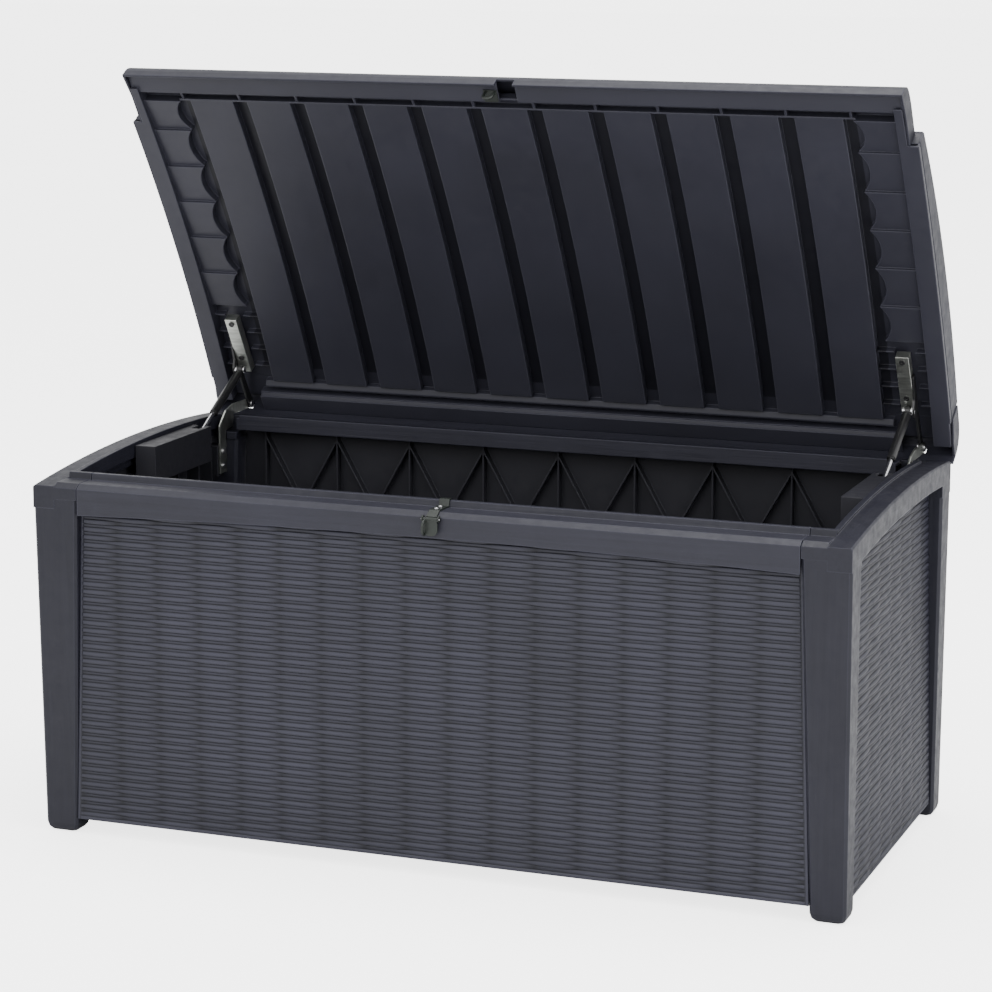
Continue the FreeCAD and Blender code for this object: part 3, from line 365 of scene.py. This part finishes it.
def strand_edges(delta):
    """Distance from a strand's middle to the crease with its neighbour above."""
    lo = np.full_like(delta, PITCH - HALF)
    hi = np.full_like(delta, HALF)
    for _ in range(30):
        mid = (lo + hi) / 2
        s0 = np.sqrt(np.clip(1 - (mid / HALF) ** 2, 0, 1))
        s1 = np.sqrt(np.clip(1 - ((PITCH - mid) / HALF) ** 2, 0, 1))
        f = delta + DEEP * (s0 - s1)
        up = f > 0
        lo = np.where(up, mid, lo)
        hi = np.where(up, hi, mid)
    return (lo + hi) / 2


def weave(name, half_w, z0, z1, place, border=5.0e-3, phase=0.0, step=6):
    """Moulded weave sheet. half_w(z): half width; place(u, z, h): point in the row frame."""
    rows = int((z1 - z0 - 6.5e-3) / PITCH)
    zs0 = z0 + 6.5e-3 + PITCH * 0.5
    wmax = max(half_w(z0), half_w(z1))
    ncol = int(2 * wmax / (STAKE / step)) + 2
    base_u = (np.arange(ncol) - (ncol - 1) / 2.0) * (STAKE / step)
    K = (-0.95, -0.7, -0.33, 0.0, 0.33, 0.7, 0.95)
    lines = []            # each: (u array, z array, h array, painted light array)

    def add_line(z_arr_fn, h_fn, painted_light_fn):
        # z_arr_fn(u) -> z ; iterate twice because the width depends on z
        zc = float(np.mean(z_arr_fn(base_u)))
        hw = half_w(zc)
        u = np.clip(base_u, -hw + border + 1.2e-3, hw - border - 1.2e-3)
        z = z_arr_fn(u)
        h = h_fn(u)
        painted_light_row = painted_light_fn(u)
        flat = 1.9e-3
        ul = [-hw, -hw + border * 0.55, -hw + border]
        u_all = np.concatenate([ul, u, [-v for v in ul[::-1]]])
        z_all = np.concatenate([[z[0]] * 3, z, [z[-1]] * 3])
        h_all = np.concatenate([[flat, flat, flat - 0.9e-3], h, [flat - 0.9e-3, flat, flat]])
        # painted light of the border columns, with painted shade in the crease beside the weave
        painted_light_all = np.concatenate([[0.85, 0.9, 0.4], painted_light_row, [0.4, 0.9, 0.85]])
        lines.append((u_all, z_all, h_all, painted_light_all))

    def const(v):
        return lambda u: np.full_like(u, v)

    # border strips; the third value is their painted light, with painted shade in the crease at 0.25
    for zz, hh, border_painted_light in ((z0, 1.6e-3, 0.8), (z0 + 0.9e-3, 2.2e-3, 0.95), (z0 + 5.2e-3, 2.2e-3, 0.95),
                       (z0 + 6.2e-3, 0.5e-3, 0.25)):
        add_line(const(zz), const(hh), const(border_painted_light))
    jit = RNG.normal(0, 0.10e-3, rows + 2)
    amp_r = 1.0 + RNG.normal(0, 0.06, rows + 2)
    ph_r = RNG.normal(0, 0.035, rows + 2)
    tilt = RNG.normal(0, 1.0, (rows + 2, 4))

    def offs(r, u):
        return AMP * amp_r[r] * np.cos(math.pi * (u / STAKE + r) + phase + ph_r[r])

    def dive(r, u):
        """1 where a strand turns in behind a stake, every second strand at each stake."""
        return np.clip(np.sin(math.pi * (u / STAKE + r) + phase + ph_r[r]), 0, 1) ** 7

    def zc(r, u):
        wob = 0.12e-3 * (tilt[r, 0] * np.sin(u * 7.0 + tilt[r, 1] * 3) + tilt[r, 2] * np.sin(u * 17.0 + tilt[r, 3] * 3))
        return zs0 + r * PITCH + jit[r] + wob

    for r in range(rows):
        for k in K:
            def z_of(u, k=k, r=r):
                o = offs(r, u)
                up = strand_edges(o - offs(r + 1, u)) - GROOVE
                dn = strand_edges(o - offs(max(r - 1, 0), u) if r else np.full_like(u, 0.0)) - GROOVE
                t = np.where(k > 0, k * up, k * dn)
                return zc(r, u) + t

            def h_of(u, k=k, r=r):
                o = offs(r, u)
                up = strand_edges(o - offs(r + 1, u)) - GROOVE
                dn = strand_edges(o - offs(max(r - 1, 0), u) if r else np.full_like(u, 0.0)) - GROOVE
                t = np.where(k > 0, k * up, k * dn)
                prof = np.sqrt(np.clip(1 - (t / (HALF * 1.03)) ** 2, 0, 1))
                return 0.75e-3 + o * 0.75 + DEEP * prof * (1 - 0.55 * dive(r, u))

            # painted light on a strand: lighter at its crown, painted shade towards its creases, on strands set back
            # and where it turns in behind a stake; upper half painted lighter and lower half darker, as if lit from
            # above
            def painted_light_of(u, k=k, r=r):
                o = offs(r, u)
                up = strand_edges(o - offs(r + 1, u)) - GROOVE
                dn = strand_edges(o - offs(max(r - 1, 0), u) if r else np.full_like(u, 0.0)) - GROOVE
                t = np.where(k > 0, k * up, k * dn)
                prof = np.sqrt(np.clip(1 - (t / (HALF * 1.03)) ** 2, 0, 1))
                front = np.clip(0.5 + 0.5 * o / AMP, 0, 1)
                return np.clip((0.16 + 0.84 * prof ** 1.4) * (0.62 + 0.38 * front) * (1 - 0.72 * dive(r, u))
                               * (1.08 if k > 0.2 else 0.86 if k < -0.2 else 1.0), 0, 1)
            add_line(z_of, h_of, painted_light_of)

        def z_g(u, r=r):
            return zc(r, u) + strand_edges(offs(r, u) - offs(r + 1, u))
        # the crease between two strands is painted darkest (painted shade)
        add_line(z_g, const(0.25e-3), const(0.0))
    add_line(const(z1), const(1.2e-3), const(0.6))
    nl, nc = len(lines), len(lines[0][0])
    U = np.array([l[0] for l in lines]); Z = np.array([l[1] for l in lines])
    H = np.array([l[2] for l in lines]); PAINTED_LIGHT = np.array([l[3] for l in lines])
    Z = np.maximum.accumulate(Z, axis=0)
    P = place(U, Z, np.clip(H, 0.2e-3, None))
    back = place(U[[0, -1]][:, [0, -1]], Z[[0, -1]][:, [0, -1]], np.zeros((2, 2)))
    verts = P.reshape(-1, 3)
    idx = np.arange(nl * nc).reshape(nl, nc)
    quads = np.stack([idx[:-1, :-1], idx[:-1, 1:], idx[1:, 1:], idx[1:, :-1]], -1).reshape(-1, 4)
    # drop quads with no area
    a = verts[quads]
    area = np.linalg.norm(np.cross(a[:, 2] - a[:, 0], a[:, 3] - a[:, 1]), axis=1)
    quads = quads[area > 1e-10]
    # rim walls down to the backing plane
    ring = np.concatenate([idx[0, :], idx[1:, -1], idx[-1, -2::-1], idx[-2:0:-1, 0]])
    zero = place(U, Z, np.zeros_like(H)).reshape(-1, 3)[ring]
    base = len(verts)
    verts = np.concatenate([verts, zero])
    n = len(ring)
    walls = np.array([[ring[(i + 1) % n], ring[i], base + i, base + (i + 1) % n] for i in range(n)])
    me = bpy.data.meshes.new(name)
    faces = [tuple(int(v) for v in q) for q in quads] + [tuple(int(v) for v in q) for q in walls]
    me.from_pydata([tuple(v) for v in verts], [], faces)
    me.validate()
    at = me.attributes.new("relief", "FLOAT", "POINT")
    # the rim walls are painted at 0.4 (painted shade)
    vals = np.concatenate([PAINTED_LIGHT.reshape(-1), np.full(n, 0.4)]).astype(np.float32)
    at.data.foreach_set("value", vals[:len(me.vertices)])
    me.polygons.foreach_set("use_smooth", np.ones(len(me.polygons), bool))
    me.update()
    o = bpy.data.objects.new(name, me)
    bpy.context.collection.objects.link(o)
    # the side panels take the darker painted-shade copy of the weave colour
    me.materials.append(MAT["weave_side_shaded" if "left" in name or "right" in name else "weave"])
    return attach(o, "box")


lo_f, hi_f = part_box("front_panel")
lo_b, hi_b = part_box("back_panel")
lo_s, hi_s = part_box("side_panel_right")
W2, LT, LBW = 0.645, 0.074, 0.055


def leg_inner(z):
    return W2 - (LBW + (LT - LBW) * z / 0.545)


def front_place(U, Z, H):
    return np.stack([U, np.full_like(U, lo_f.y) - H, Z], -1)


def back_place(U, Z, H):
    return np.stack([-U, np.full_like(U, hi_b.y) + H, Z], -1)


PB = lo_f.z


def side_x(z):
    return W2 - (0.009 + 0.015 * (z - PB) / (0.540 - PB))


side_mid = (lo_s.y + hi_s.y) / 2
side_half = (hi_s.y - lo_s.y) / 2 + 0.0004


def right_place(U, Z, H):
    return np.stack([side_x(Z) + H, side_mid + U, Z], -1)


def left_place(U, Z, H):
    return np.stack([-(side_x(Z) + H), side_mid - U, Z], -1)


weave("weave_front", lambda z: leg_inner(z) - 0.0006, PB, 0.538, front_place)
weave("weave_back", lambda z: leg_inner(z) - 0.0006, PB, 0.538, back_place, phase=0.7)
weave("weave_right", lambda z: side_half, PB, 0.5405, right_place, border=3.0e-3, phase=1.1)
weave("weave_left", lambda z: side_half, PB, 0.5405, left_place, border=3.0e-3, phase=0.2)


# ------------------------------------------------------------ stage and light
def area(name, loc, target, size, power, color=(1, 1, 1), size_y=None):
    d = bpy.data.lights.new(name, "AREA")
    d.energy = power
    d.color = color
    d.size = size
    if size_y:
        d.shape = "RECTANGLE"
        d.size_y = size_y
    o = bpy.data.objects.new(name, d)
    o.location = loc
    o.rotation_euler = (Vector(target) - Vector(loc)).to_track_quat("-Z", "Y").to_euler()
    bpy.context.collection.objects.link(o)
    return o


me = bpy.data.meshes.new("studio_floor")
S = 30.0
me.from_pydata([(-S, -S, 0), (S, -S, 0), (S, S, 0), (-S, S, 0)], [], [(0, 1, 2, 3)])
ground = bpy.data.objects.new("studio_floor", me)
ground.location = (0, 0, -0.0002)
bpy.context.collection.objects.link(ground)
fm, fnt, fb = new_mat("studio_floor")
fcol = mix_col(fnt, ramp(fnt, noise(fnt, (1, 1, 1), 2.0, 3.0, 0.5), 0.3, 0.7), (0.90, 0.90, 0.905), (0.94, 0.94, 0.94))
fnt.links.new(fcol, fb.inputs["Base Color"])
fb.inputs["Roughness"].default_value = 0.9
# seen by the camera only, so the white sweep doesn't light the box any more than it should
lp = fnt.nodes.new("ShaderNodeLightPath")
fb.inputs["Emission Color"].default_value = (1.0, 1.0, 1.0, 1.0)
fnt.links.new(math_node(fnt, "MULTIPLY", lp.outputs["Is Camera Ray"], 3.0), fb.inputs["Emission Strength"])
me.materials.append(fm)

world = bpy.data.worlds.new("studio")
world.use_nodes = True
world.node_tree.nodes["Background"].inputs["Color"].default_value = (1.0, 1.0, 1.0, 1.0)
wnt = world.node_tree
wlp = wnt.nodes.new("ShaderNodeLightPath")
seen = math_node(wnt, "ADD", math_node(wnt, "MULTIPLY", wlp.outputs["Is Camera Ray"], 3.0), 1.5)
wnt.links.new(seen, wnt.nodes["Background"].inputs["Strength"])
bpy.context.scene.world = world

area("key_right", (3.6, -1.2, 2.6), (0.2, 0.0, 0.5), 2.2, 62.0)
area("front_soft", (-0.8, -4.5, 3.2), (0.0, 0.0, 0.5), 3.0, 70.0)
area("top_soft", (0.2, 0.3, 4.2), (0.0, 0.0, 0.6), 2.6, 135.0)

# ---------------------------------------------------------------------- camera
AZ, EL, ROLL = (math.radians(v) for v in (20.628, 10.485, 0.109))
fwd = Vector((-math.sin(AZ) * math.cos(EL), math.cos(AZ) * math.cos(EL), -math.sin(EL)))
right = Vector((math.cos(AZ), math.sin(AZ), 0.0))
up = right.cross(fwd)
r2 = math.cos(ROLL) * right + math.sin(ROLL) * up
u2 = -math.sin(ROLL) * right + math.cos(ROLL) * up
cam_d = bpy.data.cameras.new("camera")
cam_d.lens = 111.635
cam_d.sensor_width = 36.0
cam_d.shift_x = 0.001076
cam_d.shift_y = -0.041957
cam_d.clip_end = 100.0
cam = bpy.data.objects.new("camera", cam_d)
rotm = Matrix((r2, u2, -fwd)).transposed()
cam.matrix_world = Matrix.Translation((1.652314, -4.088704 - YS, 1.461794)) @ rotm.to_4x4()
bpy.context.collection.objects.link(cam)
bpy.context.scene.camera = cam
